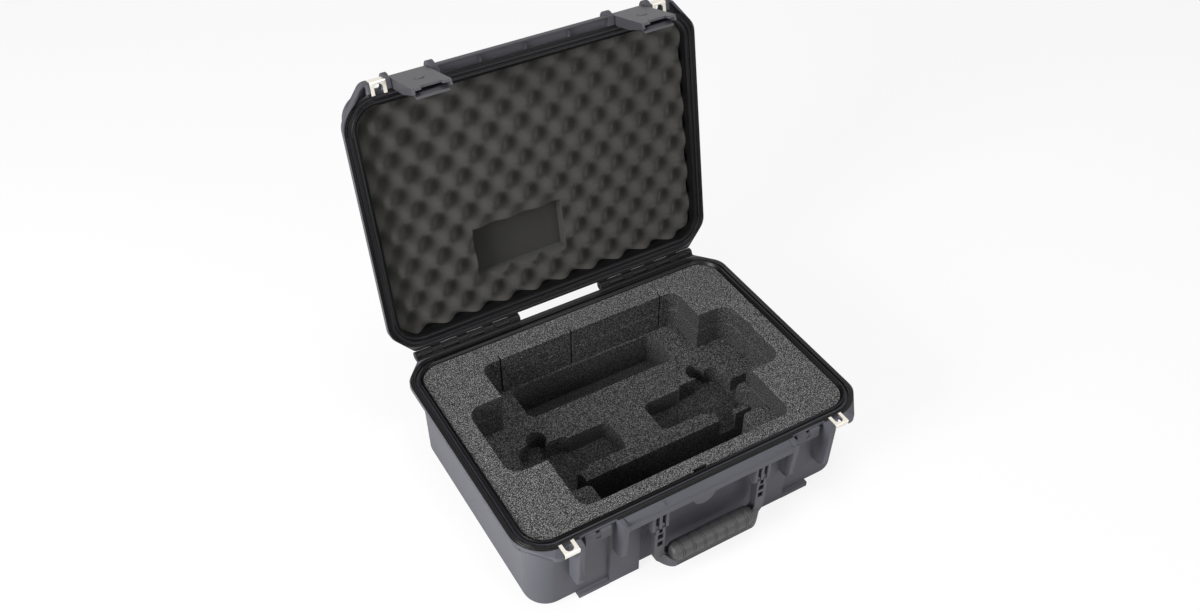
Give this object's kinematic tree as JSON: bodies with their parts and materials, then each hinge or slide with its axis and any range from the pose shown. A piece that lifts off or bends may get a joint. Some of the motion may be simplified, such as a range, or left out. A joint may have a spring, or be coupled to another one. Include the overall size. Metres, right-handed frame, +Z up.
{
  "type": "mixer case",
  "caption": "Open moulded carrying case with a hinged lid, trigger latches, a drop handle, padlock clips and foam cut for a small mixer and its accessories.",
  "frame": {"origin": "on the plane under the feet, below the middle of the whole part's box with the lid open", "axes": "+X to the right seen from the front, +Y to the hinge side, +Z up"},
  "size_m": [0.51, 0.5252, 0.5334],
  "materials": {
    "shell": "fine moulded texture",
    "seal": "matt rubber",
    "valve": "satin moulded",
    "base_foam": "open cell foam, charcoal",
    "lid_foam": "convoluted foam, charcoal",
    "grip": "matt rubber with ring grooves",
    "latch": "fine moulded texture",
    "steel_pin": "ground",
    "stainless": "pressed stainless sheet"
  },
  "bodies": {
    "case_base": {"base_shell": "shell", "pressure_valve": "valve", "foam_floor_pad": "base_foam", "foam_shelf": "base_foam", "foam_upper_ring": "base_foam", "foam_block_right": "base_foam", "foam_block_left": "base_foam", "hinge_pin_right": "steel_pin", "hinge_pin_left": "steel_pin", "handle_pin_right": "steel_pin", "handle_pin_left": "steel_pin", "base_padlock_clip_right": "stainless", "base_padlock_clip_left": "stainless"},
    "lid": {"lid_shell": "shell", "lid_gasket": "seal", "lid_foam": "lid_foam", "lid_padlock_clip_right": "stainless", "lid_padlock_clip_left": "stainless", "latch_pin_right": "steel_pin", "latch_pin_left": "steel_pin"},
    "handle": {"handle_frame": "shell", "handle_grip": "grip"},
    "latch_right": {"latch_right": "latch", "trigger_pin_right": "steel_pin", "trigger_spring_right": "steel_pin"},
    "trigger_right": {"latch_trigger_right": "latch"},
    "latch_left": {"latch_left": "latch", "trigger_pin_left": "steel_pin", "trigger_spring_left": "steel_pin"},
    "trigger_left": {"latch_trigger_left": "latch"}
  },
  "joints": [
    {"name": "lid_hinge", "type": "hinge", "parent": "case_base", "child": "lid", "pos_m": [0, 0.1394, 0.136], "axis": [1, 0, 0], "range_deg": [0, 101]},
    {"name": "handle_pivot", "type": "hinge", "parent": "case_base", "child": "handle", "pos_m": [0, -0.2421, 0.099], "axis": [-1, 0, 0], "range_deg": [0, 95]},
    {"name": "latch_right_pivot", "type": "hinge", "parent": "lid", "child": "latch_right", "pos_m": [0.15575, 0.22438, 0.50506], "axis": [-1, 0, 0], "range_deg": [-5, 100]},
    {"name": "trigger_right_pull", "type": "hinge", "parent": "latch_right", "child": "trigger_right", "pos_m": [0.15575, 0.20938, 0.50718], "axis": [-1, 0, 0], "range_deg": [0, 4.3], "stiffness_Nm_per_rad": 0.12, "springref_deg": -20.05},
    {"name": "latch_left_pivot", "type": "hinge", "parent": "lid", "child": "latch_left", "pos_m": [-0.15575, 0.22438, 0.50506], "axis": [-1, 0, 0], "range_deg": [-5, 100]},
    {"name": "trigger_left_pull", "type": "hinge", "parent": "latch_left", "child": "trigger_left", "pos_m": [-0.15575, 0.20938, 0.50718], "axis": [-1, 0, 0], "range_deg": [0, 4.3], "stiffness_Nm_per_rad": 0.12, "springref_deg": -20.05}
  ]
}
